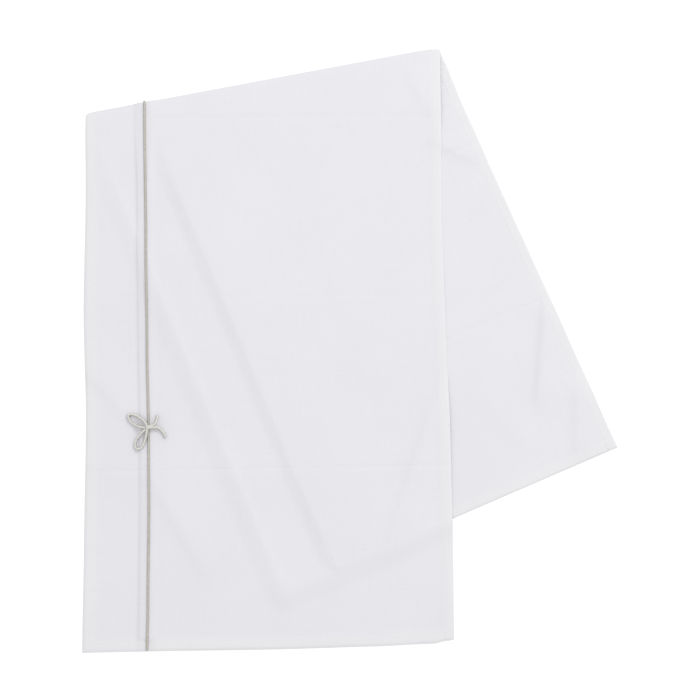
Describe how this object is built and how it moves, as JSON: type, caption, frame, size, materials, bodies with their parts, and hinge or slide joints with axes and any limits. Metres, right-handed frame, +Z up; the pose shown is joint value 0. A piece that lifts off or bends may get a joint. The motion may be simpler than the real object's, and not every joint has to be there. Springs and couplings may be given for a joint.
{
  "type": "table runner",
  "caption": "Hemmed white table runner with a piped seam and a tied cord bow, folded over once along a slanted line and laid flat.",
  "frame": {"origin": "on the table surface, below the middle of the folded runner's box", "axes": "+Z up from the table, +Y from the free end of the upper half towards the fold, +X towards the side where the lower half shows"},
  "size_m": [0.733, 0.841, 0.015],
  "materials": {
    "cloth": "matt plain weave",
    "cord": "twisted cord with a slight sheen",
    "thread": "matt sewing thread"
  },
  "bodies": {
    "lower_half": {"lower_main_panel": "cloth", "lower_side_band": "cloth", "lower_seam_allowance": "cloth", "lower_left_hem": "cloth", "lower_right_hem": "cloth", "lower_end_hem": "cloth", "lower_piping_cord": "cord", "lower_hem_thread": "thread", "lower_seam_thread": "thread", "fold_main_panel": "cloth", "fold_side_band": "cloth", "fold_seam_allowance": "cloth", "fold_left_hem": "cloth", "fold_right_hem": "cloth", "fold_piping_cord": "cord"},
    "upper_half": {"upper_main_panel": "cloth", "upper_side_band": "cloth", "upper_seam_allowance": "cloth", "upper_left_hem": "cloth", "upper_right_hem": "cloth", "upper_end_hem": "cloth", "upper_piping_cord": "cord", "upper_hem_thread": "thread", "upper_seam_thread": "thread", "bow_upper_loop": "cord", "bow_lower_loop": "cord", "bow_upper_tail": "cord", "bow_lower_tail": "cord", "bow_knot": "cord", "bow_tack_stitch": "thread"}
  },
  "joints": [
    {"name": "unfold_hinge", "type": "hinge", "parent": "lower_half", "child": "upper_half", "pos_m": [0.1335, 0.4175, 0.00305], "axis": [-0.9816, -0.1908, 0], "range_deg": [0, 180], "deforming": ["fold_main_panel", "fold_side_band", "fold_seam_allowance", "fold_left_hem", "fold_right_hem", "fold_piping_cord"]}
  ]
}
